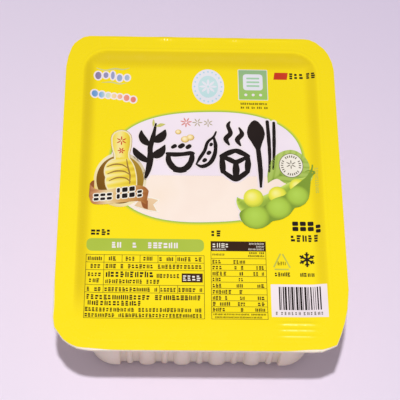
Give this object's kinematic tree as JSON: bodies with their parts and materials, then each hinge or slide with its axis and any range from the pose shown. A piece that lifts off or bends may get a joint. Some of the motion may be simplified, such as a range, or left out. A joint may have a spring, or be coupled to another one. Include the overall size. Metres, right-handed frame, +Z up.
{
  "type": "packed tofu",
  "caption": "Sealed retail pack of tofu: fluted white plastic tray with a wide flange, full, under a printed yellow lidding film that dips inside the seal.",
  "frame": {"origin": "middle of the pack's plan, on the surface that it stands on", "axes": "+Z up, +Y along the pack's longer side towards the far edge of the print, +X to the right of the print"},
  "size_m": [0.13, 0.167, 0.044],
  "materials": {
    "tray": "thermoformed white polypropylene, satin",
    "lid_film": "opaque yellow printed film, soft gloss"
  },
  "bodies": {
    "root": {"tray": "tray", "lid_film": "lid_film"}
  },
  "joints": []
}
